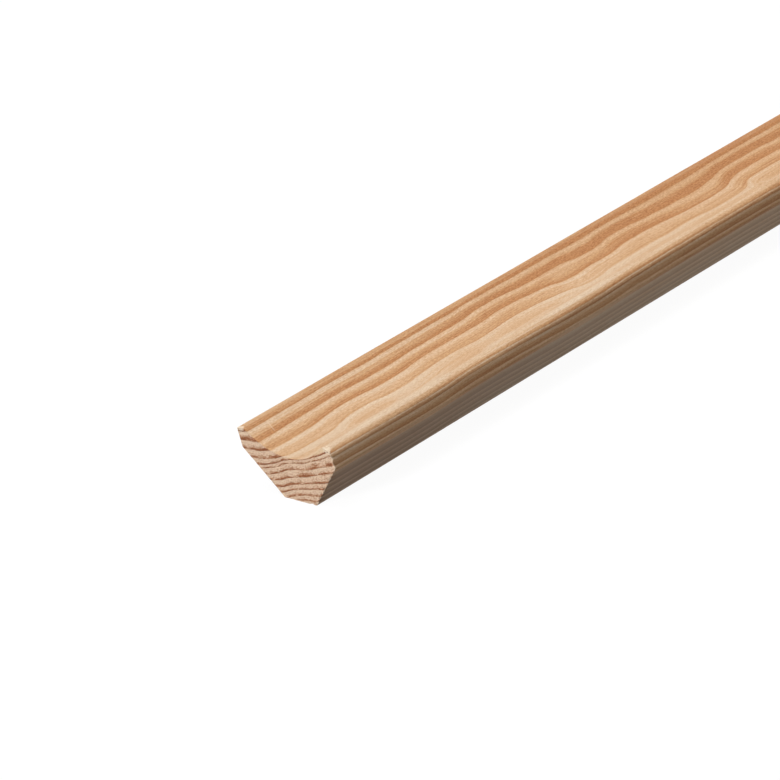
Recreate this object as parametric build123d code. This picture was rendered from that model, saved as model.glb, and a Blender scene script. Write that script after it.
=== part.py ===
"""Internal corner moulding of solid pine, planed from one flat board and sawn square to length.

The section is a board with a hollow run into its face and both back corners bevelled away.
The two bevels stand square to each other, so they sit flat against two surfaces that meet in an
inside corner, and the narrow back between them stays clear of the corner itself.  The face is a
shallow cove, and each side of the board ends above it in a rounded nose.

Frame: millimetres, X along the length, Y across the board, Z up.  The moulding lies on its narrow
back with the cove upwards, and the origin is on that back, at the middle of the length.
"""

from build123d import *
from math import radians, tan
import os

length = 2400.0  # sold length, sawn end to sawn end
board_width = 34.5  # across both noses
board_thickness = 16.5  # from the back to the top of the noses
back_width = 12.0  # the narrow flat between the bevels
bevel_angle = 45.0  # from the back to each bevel, so the bevels stand at 90 degrees
cove_depth = 5.25  # from the noses down to the bottom of the cove
nose_width = 2.75  # from the board's side in to the edge of the cove
nose_radius = 1.3  # outer corner of each nose
cove_edge_radius = 0.7  # edge between each nose and the cove
side_arris = 0.5  # corner between each bevel and the board's side
back_arris = 0.3  # corner between each bevel and the back
same_place = 1e-6  # corners closer together than this are one corner


def corner_pair(outline, place):
    """The two corners of the outline at this distance across and height, left and right alike."""
    return outline.vertices().filter_by(
        lambda corner: abs(abs(corner.X) - place[0]) < same_place and abs(corner.Y - place[1]) < same_place
    )


def section():
    """Half of the outline is drawn from the back up to the cove, then mirrored."""
    side = board_width / 2
    back_corner = back_width / 2
    bevel_top = (side - back_corner) * tan(radians(bevel_angle))
    cove_edge = side - nose_width
    cove_bottom = board_thickness - cove_depth

    corners = {
        "back": (back_corner, 0),
        "bevel": (side, bevel_top),
        "nose": (side, board_thickness),
        "cove_edge": (cove_edge, board_thickness),
    }
    radii = {
        "back": back_arris,
        "bevel": side_arris,
        "nose": nose_radius,
        "cove_edge": cove_edge_radius,
    }

    with BuildSketch(Plane.YZ) as outline:
        with BuildLine():
            right = Polyline((0, 0), *corners.values())
            mirror(right, about=Plane.YZ)
            ThreePointArc((-cove_edge, board_thickness), (0, cove_bottom), (cove_edge, board_thickness))
        make_face()
        for name, place in corners.items():
            fillet(corner_pair(outline, place), radii[name])
    return outline.sketch


def corner_moulding():
    """The section run along X, half to each side of the origin."""
    return extrude(section(), amount=length / 2, both=True)


os.makedirs("parts", exist_ok=True)
moulding = corner_moulding()
moulding.label = "corner_moulding"
export_step(moulding, "parts/corner_moulding.step")
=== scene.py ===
"""Internal corner moulding in bare planed pine, sawn square to length.

Frame: metres, X along the length, Y across the board, Z up from the flat back to the cove.  The
picture looks at the sawn end at low X, so "near" means that end and "left" means the side at
high Y.  Sizes are written in millimetres and turned to metres by MM.
"""

import math

import bpy
import numpy as np
from mathutils import Matrix, Vector


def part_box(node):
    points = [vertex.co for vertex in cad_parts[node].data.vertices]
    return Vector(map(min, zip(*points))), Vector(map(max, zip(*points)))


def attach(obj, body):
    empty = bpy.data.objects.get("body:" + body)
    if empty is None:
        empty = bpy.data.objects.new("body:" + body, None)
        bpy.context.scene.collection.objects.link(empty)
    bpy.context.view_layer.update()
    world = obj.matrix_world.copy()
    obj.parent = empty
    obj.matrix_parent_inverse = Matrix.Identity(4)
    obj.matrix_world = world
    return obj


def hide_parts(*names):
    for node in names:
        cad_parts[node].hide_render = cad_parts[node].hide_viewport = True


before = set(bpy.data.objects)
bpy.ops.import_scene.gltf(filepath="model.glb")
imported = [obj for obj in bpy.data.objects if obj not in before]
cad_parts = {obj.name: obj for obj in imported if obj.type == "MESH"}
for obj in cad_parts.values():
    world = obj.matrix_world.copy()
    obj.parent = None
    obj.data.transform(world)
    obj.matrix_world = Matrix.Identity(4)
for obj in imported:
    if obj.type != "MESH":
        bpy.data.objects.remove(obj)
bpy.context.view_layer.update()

MM = 0.001

# The section, as it is planed
low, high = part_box("corner_moulding")
near_end, far_end = low.x, high.x
half_width = high.y
thickness = high.z
half_back = 6.0 * MM  # half of the narrow flat between the bevels
cove_depth = 5.25 * MM
nose_width = 2.75 * MM
left_nose_radius = 0.4 * MM  # the left nose is nearly sharp
right_nose_radius = 2.4 * MM  # the right one is well rounded
cove_edge_radius = 0.7 * MM
side_arris = 0.5 * MM
back_arris = 0.3 * MM
opening = half_width - nose_width  # from the middle to the edge of the cove

# The tools' marks
planer_unevenness = 0.04 * MM
planer_marks = 3 * MM  # how far apart they are across the wood
planer_stretch = 8  # and how many times as far along it
saw_unevenness = 0.07 * MM
saw_marks = 4 * MM
saw_stretch = 3  # how many times as far apart they are across the end as up it
chip_depth = 1.1 * MM  # how deep the saw tore the rim where it left the wood
chip_length = 1.2 * MM  # how far a chip reaches along the planed faces
chip_width = 0.4 * MM  # and over the sawn end
chip_spacing = 1.1 * MM
patch_spacing = 3 * MM  # the chips come in patches
# the pale fibres at the sawn rims carry a painted highlight too, most at the noses' tips
fray_and_highlight_reach = 0.5 * MM  # how far from the sawn rim the fibres stand pale

# The growth rings, as they cross the near end; in millimetres
pith_left, pith_height = 18.6, 90.9  # the tree's centre from the section's middle and the back
year_widths = [2.8, 2.45, 2.25, 2.1, 1.7, 0.9, 1.6, 1.3, 1.8, 1.35, 1.55, 1.3, 1.6, 1.6]
first_year = 72.5  # from the pith to the start of the first of these years
year_ends = [first_year + sum(year_widths[: years + 1]) for years in range(len(year_widths))]
wide_years_end = year_ends[3]  # the wide years that show in the cove end here
rim_line = year_ends[4]  # the end of the year that follows the cove's edge on the sawn end
side_years_end = year_ends[7]  # the years that show on the right side end here
broad_hump = (0.7, -1.6, 11.0)  # the rings rise here: (height, left, width)
right_hump = (0.4, -10.5, 4.0)
nose_hump = (0.8, -14.6, 1.1)  # near the cove's surface only
left_fall = 0.7  # how much they fall over the left nose
right_fall = 0.45  # how much they fall along the right bevel
cut_hump = (0.62, 1.5, 8.5)  # at the saw cut, the thin years lie closer to the cove
tip_hump = (0.4, -15.5, 3.0)  # and there they rise so over the right nose
usual_out = 85.0  # how far from the pith most of the wood is
figure_length = 180.0  # the stretch from the near end whose swells follow the photo
swell_range = 2.4  # more than the highest swell is above the lowest
# How far the rings rise along that stretch: (distance from the near end, rise), on four lines.
# The three in the cove were read off the photo's year lines and turned into rises by a scratch script
left_swells = [
    (0, -0.2), (12, -0.08), (26, 0.16), (37, -0.04), (50, 0.18), (66, 0.3), (75, 0.7), (82, 0.5),
    (91, 0.12), (99, 0.1), (110, -0.52), (119, 0.05), (132, -0.42), (145, -0.58), (156, -0.3),
    (166, 0.4), (180, 0.1),
]
middle_swells = [
    (0, -0.17), (10, -0.23), (24, 0.42), (37, 0.0), (52, 0.5), (69, 0.5), (77, 0.77), (86, 0.45),
    (93, -0.05), (100, -0.74), (105, -0.56), (111, -0.6), (121, -0.13), (131, -0.3), (149, -1.04),
    (157, -0.6), (166, 0.4), (180, 0.2),
]
right_swells = [
    (0, 0.25), (10.5, -0.28), (18, 0.15), (26, 0.5), (36.5, 0.03), (44, 0.3), (56, 0.68), (64, 0.38),
    (75, 0.65), (82, 0.55), (88, 0.22), (94, -0.22), (101, -0.74), (107, -0.45), (121, -0.31),
    (130, -0.44), (135, -0.35), (148, -0.7), (155, -0.6), (160, -0.08), (167, 0.75), (180, 0.2),
]
side_swells = [
    (0, 0.05), (14, -0.1), (27, -0.25), (50, 0.25), (66, 0.0), (83, -0.3), (100, 0.05), (120, 0.2),
    (140, 0.25), (165, -0.05), (180, 0.0),
]
# Where late wood shows broad on the sawn end: (left, out from the pith, half length, half thickness)
broad_late_wood = [
    (14.2, 77.0, 5.5, 0.55), (9.4, 79.6, 2.6, 0.4), (-5.3, 87.15, 2.4, 0.55),
    (-10.1, 85.6, 1.9, 0.4), (-12.6, 87.6, 1.3, 0.35), (-9.2, 89.35, 2.2, 0.3),
    (4.0, 89.2, 2.4, 0.3), (12.5, 74.8, 9.0, 0.3),
]


# The section's outline


def run(start, end, points):
    """Straight run: start + t (end - start) for t from 0 up to, not including, 1."""
    t = np.arange(points)[:, None] / points
    return np.array(start) + t * (np.array(end) - np.array(start))


def arc(centre, radius, start, end, points):
    """Round run: centre + radius (cos a, sin a), a in degrees from start up to, not including, end."""
    angle = np.radians(start + (end - start) * np.arange(points) / points)
    return np.array(centre) + radius * np.stack([np.cos(angle), np.sin(angle)], 1)


def half_chains(nose_radius):
    """Left half of a section with this nose, as two chains of (y, z) from the middle to the side's tip.

    The upper chain is the cove's arc, whose radius is (e^2 + d^2) / 2d for a half-opening e and a
    depth d, then the small arc that touches the cove and the nose's flat top, the flat, the
    nose's quarter circle and the side.  The lower chain is the back, the bevel at 45 degrees and
    the side, with a small arc at each corner that starts r tan(22.5) before it.  Both chains have
    the same number of points.
    """
    cove_radius = (opening**2 + cove_depth**2) / (2 * cove_depth)
    cove_centre = thickness - cove_depth + cove_radius
    edge_z = thickness - cove_edge_radius
    edge_y = math.sqrt((cove_radius + cove_edge_radius) ** 2 - (cove_centre - edge_z) ** 2)
    meeting = math.degrees(math.atan2(edge_y, cove_centre - edge_z))
    nose_y = half_width - nose_radius
    bevel_top = half_width - half_back
    back_cut = back_arris * math.tan(math.pi / 8)
    side_cut = side_arris * math.tan(math.pi / 8)
    bevel_start = (half_back + back_cut / math.sqrt(2), back_cut / math.sqrt(2))
    bevel_end = (half_width - side_cut / math.sqrt(2), bevel_top - side_cut / math.sqrt(2))
    tip = (half_width, (bevel_top + thickness) / 2)
    upper = [
        arc((0, cove_centre), cove_radius, -90, meeting - 90, 44),
        arc((edge_y, edge_z), cove_edge_radius, 90 + meeting, 90, 5),
        run((edge_y, thickness), (nose_y, thickness), 3),
        arc((nose_y, thickness - nose_radius), nose_radius, 90, 0, 8),
        run((half_width, thickness - nose_radius), tip, 6),
        [tip],
    ]
    lower = [
        run((0, 0), (half_back - back_cut, 0), 12),
        arc((half_back - back_cut, back_arris), back_arris, -90, -45, 4),
        run(bevel_start, bevel_end, 36),
        arc((half_width - side_arris, bevel_top + side_cut), side_arris, -45, 0, 5),
        run((half_width, bevel_top + side_cut), tip, 9),
        [tip],
    ]
    return np.concatenate(upper), np.concatenate(lower)


def section():
    """(rim, chain, spine): the closed outline, and the line inside it that the sawn ends close on.

    The rim goes from the left tip over the cove to the right tip and back below.  The spine runs
    midway between the upper and the lower chain and stops short of the tips; chain says which
    point of the spine belongs to each point of the rim.
    """
    left_upper, left_lower = half_chains(left_nose_radius)
    right_upper, right_lower = half_chains(right_nose_radius)
    mirror = np.array([-1.0, 1.0])
    above = np.concatenate([left_upper[:0:-1], right_upper * mirror])
    below = np.concatenate([left_lower[:0:-1], right_lower * mirror])
    rim = np.concatenate([above, below[-2:0:-1]])
    number = np.arange(len(rim))
    chain = np.minimum(number, len(rim) - number)
    return rim, chain, (above + below) / 2 * np.array([0.86, 1.0])


# The moulding's skin


def smooth(value):
    """The S-shaped step 3v^2 - 2v^3 of a value held between 0 and 1."""
    held = np.clip(value, 0, 1)
    return held * held * (3 - 2 * held)


def waver(along, around, reach, seed):
    """Smooth unevenness from 0 to 1: nine seeded sine waves over two lengths, about a reach apart."""
    dice = np.random.default_rng(seed)
    total = np.zeros(np.broadcast(along, around).shape)
    for pace in dice.normal(size=(9, 2)) * 2 / reach:
        total += np.sin(along * pace[0] + around * pace[1] + dice.uniform(0, math.tau))
    return 0.5 + 0.5 * np.tanh(total / 3)


def stations():
    """Distances from the near end: close together at both ends and along the figure, wide between."""
    length = far_end - near_end
    past_figure = 240 * MM
    at_saw = np.array([0, 0.12, 0.3, 0.55, 0.85, 1.2, 1.6, 2.1, 2.7, 3.4, 4.4]) * MM
    along_figure = np.arange(6 * MM, past_figure - MM, 3 * MM)
    between = np.arange(past_figure, length - 8 * MM, 12 * MM)
    return np.unique(np.concatenate([at_saw, along_figure, between, length - at_saw]).round(6))


def chip_shares(around, exit_side):
    """How deep each rim point is chipped, 0 to 1, at the near and the far end.

    It is a waver, for the patches, times the square of a finer one, for the chips in them, times
    how far the point is on the side where the saw left the wood.
    """
    shares = []
    for patch_seed, chip_seed in ((6, 5), (9, 8)):
        chips = waver(0, around, chip_spacing, chip_seed) ** 2 * (0.06 + exit_side)
        shares.append(waver(0, around, patch_spacing, patch_seed) * chips)
    return shares


def planed_faces(rim, inwards, around, chips):
    """Grid (station, rim point): the rim carried along X, pressed inwards by the planer's unevenness.

    At each end a chip moves the point along and inwards by its depth times exp(-distance / length).
    """
    from_near = stations()[:, None]
    length = far_end - near_end
    near_half = from_near < length / 2
    from_end = np.minimum(from_near, length - from_near)
    chip = np.where(near_half, *chips) * chip_depth * np.exp(-from_end / chip_length)
    uneven = planer_unevenness * waver(from_near / planer_stretch, around, planer_marks, 3)
    along = near_end + from_near + np.where(near_half, 1, -1) * chip
    return np.concatenate([along[:, :, None], rim + (uneven + chip * 0.5)[:, :, None] * inwards], 2)


def sawn_end(edge, chain, spine, seed):
    """Rings of a sawn end: edge + s (spine - edge), with s = t^1.3 for t from 0 to 1, as (ring, point).

    A chip's depth at the edge fades as exp(-distance / width), and the saw leaves its own
    unevenness, always into the wood.  The last ring is the spine.  Also returns each distance.
    """
    share = np.linspace(0, 1, 20)[1:, None, None] ** 1.3
    flat = edge[:, 1:] + share * (spine[chain] - edge[:, 1:])
    distance = np.linalg.norm(flat - edge[:, 1:], axis=2)
    face = near_end if edge[0, 0] < 0 else far_end
    into = 1 if face == near_end else -1
    torn = (edge[:, 0] - face) * np.exp(-distance / chip_width)
    worn = waver(flat[:, :, 0], flat[:, :, 1] * saw_stretch, saw_marks, seed)
    worn = worn * (1 - np.exp(-distance / MM))
    return np.concatenate([(face + torn + into * saw_unevenness * worn)[:, :, None], flat], 2), distance


def fraying_and_highlight(rim, exit_side):
    """(raggedness, reach) of the pale torn fibres at each rim point, with a painted highlight at the
    noses' tips, where both are most.
    """
    # at the noses' tips the pale is a painted highlight
    nose_tip = smooth((rim[:, 1] - thickness + 1.4 * MM) / MM)
    nose_tip = nose_tip * smooth((abs(rim[:, 0]) - half_width + 2.9 * MM) / MM)
    return 0.15 + 0.45 * exit_side + nose_tip, fray_and_highlight_reach * (1 + 2 * nose_tip)


def quads(grid):
    """Corner numbers of the faces of a grid of vertex numbers whose last column joins the first."""
    grid = np.concatenate([grid, grid[:, :1]], 1)
    return np.stack([grid[:-1, :-1], grid[:-1, 1:], grid[1:, 1:], grid[1:, :-1]], 2).reshape(-1, 4)


def lay_out(vertices, faces, around, planed_count):
    """Flat map of the skin: the planed faces in five equal strips, the sawn ends above them.

    A planed corner is at u = share of its strip's length, v = (strip + share of the rim) / 5 of
    the lower nine tenths.  A sawn corner is at its (y, z), scaled to the upper tenth.
    """
    strips, band, edge, gap = 5, 0.9, 0.004, 0.02
    near_start, far_start = 0.1, 0.4
    corner = vertices[faces]
    spread = np.zeros((len(faces), 4, 2))

    length = far_end - near_end
    along = np.clip((corner[:planed_count, :, 0] - near_end) / length, 0, 1) * strips
    strip = np.clip(np.floor(along.mean(1)), 0, strips - 1)[:, None]
    share = around[faces[:planed_count] % len(around)] / around[-1]
    # A face that closes the rim has a corner at its end, which counts as its start
    closing = share.max(1) - share.min(1) > 0.5
    share = np.where(closing[:, None] & (share > 0.99), 0.0, share)
    spread[:planed_count, :, 0] = edge + (1 - 2 * edge) * np.clip(along - strip, 0, 1)
    spread[:planed_count, :, 1] = band / strips * (strip + gap + (1 - 2 * gap) * share)

    sawn = corner[planed_count:]
    scale = (1 - band - 2 * edge) / thickness
    start = np.where(sawn[:, :1, 0] < 0, near_start, far_start)
    spread[planed_count:, :, 0] = start + (sawn[:, :, 1] + half_width) * scale
    spread[planed_count:, :, 1] = band + edge + sawn[:, :, 2] * scale
    return spread


def moulding():
    """The moulding as one closed mesh: planed faces and two sawn ends that share their rims.

    The mesh keeps which faces are sawn, and how pale each point's torn fibres and painted highlight
    are: the raggedness and highlight of its rim point times exp(-distance from the rim / reach).
    """
    rim, chain, spine = section()
    ahead = np.roll(rim, -1, 0) - np.roll(rim, 1, 0)
    inwards = np.stack([-ahead[:, 1], ahead[:, 0]], 1) / np.linalg.norm(ahead, axis=1)[:, None]
    around = np.cumsum(np.linalg.norm(rim - np.roll(rim, 1, 0), axis=1))

    # The saw left the wood at the right, so the chips are there, and a few elsewhere
    exit_side = smooth(1.1 * inwards[:, 0] + 0.3 * inwards[:, 1])
    ragged_and_highlit, reach = fraying_and_highlight(rim, exit_side)
    planed = planed_faces(rim, inwards, around, chip_shares(around, exit_side))
    from_near = stations()[:, None]
    from_end = np.minimum(from_near, from_near[-1] - from_near)

    # Vertices and faces: the planed grid, then each end's rings, whose last is the spine
    grid = np.arange(planed.size // 3).reshape(planed.shape[:2])
    points = [planed.reshape(-1, 3)]
    fray_and_highlight = [(np.exp(-from_end / reach) * ragged_and_highlit).ravel()]
    skin = [quads(grid)]
    start = grid.size
    for row, turn, seed in ((0, 1, 21), (-1, -1, 22)):
        rings, distance = sawn_end(planed[row], chain, spine, seed)
        inner = start + np.arange((len(rings) - 1) * len(rim)).reshape(-1, len(rim))
        last = start + inner.size + chain
        skin.append(quads(np.vstack([grid[row], inner, last]))[:, ::-turn])
        points += [rings[:-1].reshape(-1, 3), rings[-1, : len(spine)]]
        pale = np.exp(-distance / reach) * ragged_and_highlit
        fray_and_highlight += [pale[:-1].ravel(), pale[-1, : len(spine)]]
        start += inner.size + len(spine)
    vertices = np.concatenate(points)
    faces = np.concatenate(skin)

    mesh = bpy.data.meshes.new("pine moulding")
    mesh.from_pydata(vertices.tolist(), [], faces.tolist())
    flat_map = mesh.uv_layers.new(name="OFBake")
    flat_map.data.foreach_set("uv", lay_out(vertices, faces, around, len(skin[0])).ravel())
    frayed_and_highlit = mesh.attributes.new("frayed_and_highlit", "FLOAT", "POINT")
    frayed_and_highlit.data.foreach_set("value", np.concatenate(fray_and_highlight))
    sawn = mesh.attributes.new("sawn", "FLOAT", "FACE")
    sawn.data.foreach_set("value", (np.arange(len(faces)) >= len(skin[0])).astype(float))
    mesh.shade_smooth()
    mesh.set_sharp_from_angle(angle=math.radians(40))
    piece = bpy.data.objects.new("pine_moulding", mesh)
    bpy.context.collection.objects.link(piece)
    return piece


# Building blocks of the materials


def srgb(red, green, blue):
    """A colour written as 0 to 255, turned to linear light by the sRGB curve."""
    share = np.array([red, green, blue]) / 255
    light = np.where(share > 0.04045, ((share + 0.055) / 1.055) ** 2.4, share / 12.92)
    return (*light.tolist(), 1.0)


def grey(light):
    """A grey in linear light, from 0 for black to 1 for white."""
    return (light, light, light, 1.0)


def node(tree, kind, inputs=None, **settings):
    """Adds a node; each of its inputs is given a value or another node's output."""
    made = tree.nodes.new(kind)
    for name, value in settings.items():
        setattr(made, name, value)
    for name, value in (inputs or {}).items():
        if isinstance(value, Field):
            value = value.socket
        if isinstance(value, bpy.types.NodeSocket):
            tree.links.new(value, made.inputs[name])
        else:
            made.inputs[name].default_value = value
    return made


class Field:
    """A number that varies over the wood; arithmetic with it adds the maths nodes that work it out."""

    def __init__(self, tree, socket):
        self.tree = tree
        self.socket = socket

    def reckon(self, operation, *values):
        made = node(self.tree, "ShaderNodeMath", dict(enumerate(values)), operation=operation)
        return Field(self.tree, made.outputs[0])

    def __add__(self, other):
        return self.reckon("ADD", self, other)

    def __sub__(self, other):
        return self.reckon("SUBTRACT", self, other)

    def __mul__(self, other):
        return self.reckon("MULTIPLY", self, other)

    def __truediv__(self, other):
        return self.reckon("DIVIDE", self, other)

    def squared(self):
        return self.reckon("MULTIPLY", self, self)

    def root(self):
        return self.reckon("SQRT", self)

    def bell(self):
        """e to the power of minus this squared."""
        return self.reckon("EXPONENT", self.squared() * -1.0)

    def hump(self, height, middle, width):
        """height times e to the power of minus ((this - middle) / width) squared."""
        return ((self - middle) / width).bell() * height

    def remainder(self):
        return self.reckon("FRACT", self)

    def step(self, start, end, low=0.0, high=1.0):
        """Smooth step from low at start to high at end."""
        ends = {"Value": self, "From Min": start, "From Max": end, "To Min": low, "To Max": high}
        made = node(self.tree, "ShaderNodeMapRange", ends, interpolation_type="SMOOTHSTEP")
        return Field(self.tree, made.outputs[0])

    def curve(self, points, handles):
        """The curve through these points, both ways from 0 to 1."""
        made = node(self.tree, "ShaderNodeFloatCurve", {"Value": self})
        line = made.mapping.curves[0]
        while len(line.points) < len(points):
            line.points.new(0.5, 0.5)
        for point, place in zip(line.points, points):
            point.location = place
            point.handle_type = handles
        made.mapping.extend = "HORIZONTAL"
        made.mapping.update()
        return Field(self.tree, made.outputs[0])

    def colours(self, stops):
        """The colour ramp through these (place, colour) stops."""
        made = node(self.tree, "ShaderNodeValToRGB", {"Fac": self})
        while len(made.color_ramp.elements) < len(stops):
            made.color_ramp.elements.new(0.5)
        for element, (place, colour) in zip(made.color_ramp.elements, stops):
            element.position = place
            element.color = colour
        return made.outputs["Color"]


def kept(tree, name):
    """A number that the mesh keeps for each of its faces or points."""
    return Field(tree, node(tree, "ShaderNodeAttribute", attribute_name=name).outputs["Fac"])


def mixed(tree, share, first, second, blend="MIX"):
    """One colour over another by a share."""
    inputs = {0: share, 6: first, 7: second}
    return node(tree, "ShaderNodeMix", inputs, data_type="RGBA", blend_type=blend).outputs[2]


# The pine


class Wood:
    """Each point of the wood: its place in millimetres, and where and how late in its year it grew."""

    def __init__(self, tree):
        metres = node(tree, "ShaderNodeTexCoord").outputs["Object"]
        scaled = node(tree, "ShaderNodeVectorMath", {0: metres, "Scale": 1 / MM}, operation="SCALE")
        self.tree = tree
        self.place = scaled.outputs[0]
        places = node(tree, "ShaderNodeSeparateXYZ", {0: self.place}).outputs
        self.along, self.across, self.up = [Field(tree, socket) for socket in places]
        self.from_near = self.along - near_end / MM
        self.sawn = kept(tree, "sawn")
        self.out, around = self.from_pith()
        grown = {0: self.along, 1: self.out, 2: around}
        self.grown = node(tree, "ShaderNodeCombineXYZ", grown).outputs[0]
        self.share = self.share_of_year()

    def noise(self, place, size, detail=2.0):
        """Noise around 0 in cells of this size along, across and up, in millimetres."""
        paces = tuple(1 / length for length in size)
        cells = node(self.tree, "ShaderNodeVectorMath", {0: place, 1: paces}, operation="MULTIPLY")
        inputs = {"Vector": cells.outputs[0], "Scale": 1.0, "Detail": detail}
        return Field(self.tree, node(self.tree, "ShaderNodeTexNoise", inputs).outputs["Fac"]) - 0.5

    def rise(self):
        """How far the rings rise over the width: bells h e^(-((y - c) / w)^2) and smooth steps."""
        rise = self.across.hump(*broad_hump)
        rise = rise + self.across.hump(*right_hump) * self.up.step(8.0, 12.0)
        nose = self.across.hump(*nose_hump) * self.up.step(13.0, 16.0)
        tip = self.across.hump(*tip_hump) * self.up.step(11.0, 14.0)
        rise = rise + nose + (tip - nose) * self.sawn
        rise = rise - self.across.step(13.9, 15.4, 0.0, left_fall) * self.up.step(15.2, 16.0)
        return rise - (self.across + self.up).step(-6.0, -1.5, right_fall, 0.0)

    def swell(self):
        """How far they rise along the length: as in the photo along the figure, and freely after it.

        It is set on four lines along the moulding and goes over smoothly from line to line.
        """
        share = self.from_near / figure_length
        left, middle, right, side = [
            share.curve([(x / figure_length, 0.5 + rise / swell_range) for x, rise in line], "AUTO")
            for line in (left_swells, middle_swells, right_swells, side_swells)
        ]
        swell = side + (right - side) * self.across.step(-5.5, -1.0)
        swell = swell + (middle - swell) * self.across.step(1.5, 6.0)
        swell = swell + (left - swell) * self.across.step(7.5, 10.5)
        swell = (swell - 0.5) * swell_range * self.across.step(11.5, 13.5, 1.0, 0.3)
        wild = self.noise(self.place, (60.0, 90.0, 90.0)) * self.from_near.step(170.0, 260.0) * 5.0
        wild = wild * self.across.step(-8.0, -1.0, 0.05, 1.0) * self.across.step(8.0, 14.0, 1.0, 0.4)
        return swell + wild

    def from_pith(self):
        """(Out from the pith, around it), in millimetres.

        Out is the distance from the pith, sqrt((y - pith)^2 + (z - pith)^2), plus the rise over
        the width, the swell along the length and small ripples.  Around is the angle about the
        pith times how far out the wood usually is.
        """
        from_pith_left = self.across - pith_left
        from_pith_up = self.up - pith_height
        distance = (from_pith_left.squared() + from_pith_up.squared()).root()
        ripple = self.noise(self.place, (9.0, 7.0, 7.0)) * 0.2
        ripple = ripple + self.noise(self.place, (4.0, 1.2, 1.2)) * 0.1
        out = distance + self.rise() + self.swell() + ripple

        # At the saw cut the thin years lie closer to the cove
        thin_years = out.step(wide_years_end + 0.05, wide_years_end + 0.8)
        thin_years = thin_years - out.step(side_years_end - 1.95, side_years_end + 0.05)
        out = out + self.across.hump(*cut_hump) * thin_years * self.sawn
        angle = from_pith_left.reckon("ARCTAN2", from_pith_left, from_pith_up * -1.0)
        return out, angle * usual_out

    def share_of_year(self):
        """How far through its year each point grew, from 0 to 1.

        The years' widths, added up, turn the way out from the pith to a count of years.
        """
        total, count = sum(year_widths), len(year_widths)
        edges = np.cumsum([0, *year_widths]) / total
        counted = [(edge, number / count) for number, edge in enumerate(edges)]
        years = ((self.out - first_year) / total).remainder().curve(counted, "VECTOR") * float(count)
        return years.remainder()


def planed_colour(wood):
    """Planed pine: a year goes from pale early wood to orange-brown late wood, then back at once.

    Lateness follows the share of the year along a curve, is weaker where the plane ran
    almost along the rings and in the outer years, and is streaked along the rings and the fibres.
    Painted shade: the right side, which faces away from the lamps, is darker, with a deep brown
    over its late wood. The outer years, on the bevel in shade, have a painted shade of brown-grey
    over their late wood, and a brown-grey that grows towards the near end.
    """
    tree, across = wood.tree, wood.across
    lateness = wood.share.curve(
        [(0, 0.6), (0.08, 0.25), (0.18, 0.2), (0.38, 0.5), (0.6, 0.72), (0.9, 0.95), (1, 1)], "AUTO"
    )
    side = across.step(-17.25, -16.9, 1.0, 0.0)
    outer = wood.out.step(side_years_end - 0.1, side_years_end + 0.2)
    cut = across.step(-8.0, 14.0, 0.42, 1.0) + across.step(-17.0, -15.6, 0.5, 0.0)
    streaks = wood.noise(wood.grown, (45.0, 0.2, 5.0), 3.0)
    fibres = wood.noise(wood.place, (8.0, 0.26, 0.26), 3.0)
    warmth = wood.noise(wood.place, (50.0, 9.0, 9.0))
    tone = lateness * cut + streaks * (lateness + 0.2) + warmth * 0.35
    tone = tone + fibres * ((side + outer) * 0.5 + 0.45)

    # The right nose and the left half of the cove are browner, more so away from the near end
    tone = tone + across.step(-13.0, -9.0, 0.06, 0.0)
    tone = tone + wood.from_near.step(40.0, 150.0) * across.step(0.0, 10.0, 0.1, 0.25)
    tone = tone + across.step(3.0, 9.0, 0.0, 0.1)
    # The outer years are paler there, and the left arris has a painted highlight along its top
    tone = tone - outer * wood.from_near.step(15.0, 80.0, 0.0, 0.28)
    # Painted highlight along the top of the left arris
    tone = tone - across.step(16.6, 17.1, 0.0, 0.35) * wood.up.step(15.9, 16.3)
    # Painted shade: the right side, which faces away from the lamps, is drawn to a darker tone,
    # so its early and late wood differ less; the outer years are drawn darker and together too
    tone = tone * (side * -0.25 + 1.0) + side * 0.18
    tone = tone * (outer * -0.4 + 1.0) + outer * 0.3
    colour = tone.colours([
        (0.0, srgb(224, 199, 171)),
        (0.2, srgb(220, 191, 160)),
        (0.4, srgb(215, 178, 141)),
        (0.6, srgb(208, 166, 126)),
        (0.8, srgb(199, 152, 108)),
        (1.0, srgb(184, 129, 85)),
    ])
    specks = wood.noise(wood.place, (0.7, 0.25, 0.25)) * 1.3 + 0.5
    speckled = specks.colours([(0.15, srgb(70, 70, 70)), (0.85, srgb(255, 255, 255))])
    colour = mixed(tree, 0.6, colour, speckled, "SOFT_LIGHT")
    # Painted shade: the late wood on the right side is darkened to a deep brown
    colour = mixed(tree, side * lateness * 0.4, colour, srgb(120, 74, 46))
    # Painted shade: the outer years' late wood, on the bevel in shade, is greyed and darkened; the
    # outer years are also greyer towards the near end
    painted_shade_and_near_grey = outer * (lateness * 0.45 + wood.from_near.step(0.0, 130.0, 0.4, 0.0))
    colour = mixed(tree, painted_shade_and_near_grey, colour, srgb(114, 85, 64))

    # A thin pale scratch across the grain, where the moulding was handled
    scratch = ((wood.from_near - 3.4 - across * 0.2) / 0.14).bell()
    scratch = scratch * across.step(10.2, 11.2) * across.step(12.8, 13.8, 1.0, 0.0) * 0.4
    return mixed(tree, scratch, colour, srgb(238, 214, 186))


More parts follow.
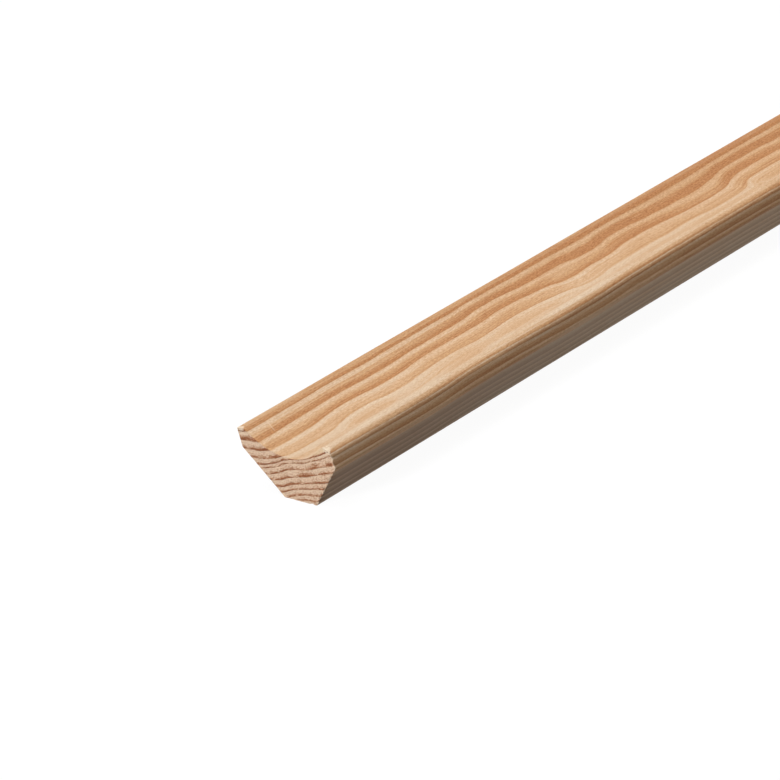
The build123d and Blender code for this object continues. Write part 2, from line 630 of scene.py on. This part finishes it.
def end_colour(wood, torn, pores, planed):
    """Sawn end grain: rough and speckled, with a broken dark line at the end of every year."""
    tree, across = wood.tree, wood.across
    breaks = wood.noise(wood.grown, (9.0, 0.5, 2.0), 3.0)
    lines = (wood.share + breaks * 0.3).curve(
        [(0, 0.5), (0.08, 0.02), (0.3, 0.1), (0.55, 0.26), (0.74, 0.64), (0.9, 1.0), (1, 1)], "AUTO"
    )
    blots = wood.noise(wood.grown, (9.0, 1.4, 3.0))
    tone = lines * (breaks * 2.6 + 0.86) * across.step(-7.0, 3.0, 0.72, 1.0)
    tone = tone + torn * 1.6 + pores * 2.2 + blots * 0.6 + across.step(-2.0, 8.0, 0.0, -0.07)
    for left, at, long, thick in broad_late_wood:
        near = (((across - left) / long).squared() + ((wood.out - at) / thick).squared()).root()
        tone = tone + (near + breaks * 1.5).bell() * 0.5

    # The line that follows the cove is sharp, with pale wood below it at the right
    at_line = wood.out + breaks * 0.2 - rim_line
    tone = tone + at_line.hump(0.45, -0.14, 0.15)
    tone = tone - at_line.hump(0.4, 0.3, 0.22) * across.step(-13.0, -10.0, 1.0, 0.0)
    colour = tone.colours([
        (0.0, srgb(243, 214, 186)),
        (0.2, srgb(225, 188, 158)),
        (0.42, srgb(207, 162, 129)),
        (0.62, srgb(188, 134, 98)),
        (0.82, srgb(170, 107, 69)),
        (1.0, srgb(146, 86, 51)),
    ])

    # Right of the middle the thin wood above the ring that follows the cove is as smooth as the cove
    lip = (wood.out + pores * 0.8 - rim_line).step(-0.55, -0.35, 1.0, 0.0)
    lip = lip * across.step(-2.0, 2.5, 1.0, 0.0)
    smooth_lip = mixed(tree, 0.7, planed, srgb(252, 219, 178))
    colour = mixed(tree, lip, colour, smooth_lip)
    flecks = wood.noise(wood.place, (1.0, 0.5, 0.4)).step(0.09, 0.26) * 0.4
    return mixed(tree, flecks, colour, srgb(244, 222, 196))


def bare_pine():
    """Planed softwood on the faces and sawn end grain on the ends, both from the same growth rings."""
    material = bpy.data.materials.new("bare pine")
    material.use_nodes = True
    tree = material.node_tree
    wood = Wood(tree)
    torn = wood.noise(wood.grown, (3.0, 0.26, 0.8), 3.0)
    pores = wood.noise(wood.place, (3.0, 0.3, 0.3))
    fibres = wood.noise(wood.place, (9.0, 0.35, 0.35), 3.0)

    planed = planed_colour(wood)
    colour = mixed(tree, wood.sawn, planed, end_colour(wood, torn, pores, planed))
    # Pale torn fibres at the sawn rims, with a painted highlight at the noses' tips
    tufts_and_highlight = wood.noise(wood.place, (0.8, 0.5, 0.5)) * 2.0 + kept(tree, "frayed_and_highlit")
    colour = mixed(tree, tufts_and_highlight.step(0.45, 0.95) * 0.8, colour, srgb(246, 226, 200))

    # Late wood stands proud of early wood, and the sawn ends are rough
    height = wood.share.step(0.4, 1.0) * 0.02 + fibres * 0.06
    height = height + wood.sawn * (torn * 0.3 + pores * 0.3)
    bump = node(tree, "ShaderNodeBump", {"Height": height, "Distance": MM, "Strength": 1.0})
    surface = tree.nodes["Principled BSDF"]
    tree.links.new(colour, surface.inputs["Base Color"])
    tree.links.new(bump.outputs["Normal"], surface.inputs["Normal"])
    tree.links.new((fibres * 0.2 + 0.62).socket, surface.inputs["Roughness"])
    surface.inputs["Specular IOR Level"].default_value = 0.2
    return material


# The studio


def looked_at(tree):
    """1 for what the camera sees, straight or in a gloss or through glass, and 0 for spread light."""
    rays = node(tree, "ShaderNodeLightPath").outputs
    return Field(tree, rays["Is Camera Ray"]) + rays["Is Glossy Ray"] + rays["Is Transmission Ray"]


def glowing(tree, diffuse, glow):
    """A shader that throws back this share of the light on it and adds this much of its own."""
    shaded = node(tree, "ShaderNodeBsdfDiffuse", {"Color": grey(diffuse)}).outputs[0]
    lit = node(tree, "ShaderNodeEmission", {"Color": grey(1.0), "Strength": glow}).outputs[0]
    return node(tree, "ShaderNodeAddShader", {0: shaded, 1: lit}).outputs[0]


def floor():
    """A wide pale floor: to the camera white and softly shadowed, to the moulding dim and even."""
    reach = 6.0
    around = ((-reach, -reach), (reach, -reach), (reach, reach), (-reach, reach))
    corners = [(x, y, -0.02 * MM) for x, y in around]
    mesh = bpy.data.meshes.new("floor")
    mesh.from_pydata(corners, [], [(0, 1, 2, 3)])
    ground = bpy.data.objects.new("floor", mesh)
    bpy.context.collection.objects.link(ground)
    material = bpy.data.materials.new("pale floor")
    material.use_nodes = True
    tree = material.node_tree
    tree.nodes.remove(tree.nodes["Principled BSDF"])
    dim = glowing(tree, 0.05, 0.095)
    white = glowing(tree, 0.07, 0.95)
    both = node(tree, "ShaderNodeMixShader", {0: looked_at(tree), 1: dim, 2: white}).outputs[0]
    tree.links.new(both, tree.nodes["Material Output"].inputs["Surface"])
    mesh.materials.append(material)


def lamp(name, towards, strength, softness):
    """A far lamp in the direction of towards, whose light spreads over an angle of softness degrees."""
    data = bpy.data.lights.new(name, "SUN")
    data.energy = strength * math.pi
    data.angle = math.radians(softness)
    light = bpy.data.objects.new(name, data)
    light.rotation_mode = "QUATERNION"
    light.rotation_quaternion = Vector(towards).to_track_quat("Z", "Y")
    bpy.context.collection.objects.link(light)


def studio_light():
    """Broad lamps over the moulding and low at its right, one before its near end, and a dim room.

    The camera sees the room white.
    """
    lamp("overhead", (0.0, -0.12, 1.0), 0.51, 50)
    lamp("before the end", (-0.85, 0.05, 0.5), 0.79, 15)
    lamp("low at the right", (-0.2, -1.0, 0.15), 0.2, 40)
    world = bpy.data.worlds.new("white room")
    world.use_nodes = True
    tree = world.node_tree
    background = tree.nodes["Background"]
    background.inputs["Color"].default_value = grey(1.0)
    strength = looked_at(tree).step(0.0, 1.0, 0.08, 1.0)
    tree.links.new(strength.socket, background.inputs["Strength"])
    bpy.context.scene.world = world


def camera():
    """Looks along its heading, down by its pitch and tilted by its roll, at a point of the cove."""
    heading, pitch, roll = math.radians(54.87), math.radians(21.87), math.radians(15.85)
    aim = Vector((near_end + 35.2 * MM, 3.6 * MM, 11.25 * MM))
    distance = 686.8 * MM
    forth = math.cos(pitch)
    ahead = Vector((forth * math.cos(heading), forth * math.sin(heading), -math.sin(pitch)))
    level = ahead.cross(Vector((0, 0, 1))).normalized()
    down = ahead.cross(level)
    right = math.cos(roll) * level + math.sin(roll) * down
    above = ahead.cross(right) * -1
    data = bpy.data.cameras.new("camera")
    data.sensor_width = 36.0
    data.lens = 134.3
    data.clip_start = 0.01
    data.clip_end = 50.0
    eye = bpy.data.objects.new("camera", data)
    turn = Matrix((right, above, -ahead)).transposed().to_4x4()
    eye.matrix_world = Matrix.Translation(aim - distance * ahead) @ turn
    bpy.context.collection.objects.link(eye)
    bpy.context.scene.camera = eye


# The scene

piece = moulding()
piece.data.materials.append(bare_pine())
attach(piece, "root")
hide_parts("corner_moulding")
floor()
studio_light()
camera()
bpy.context.scene.view_settings.view_transform = "Standard"
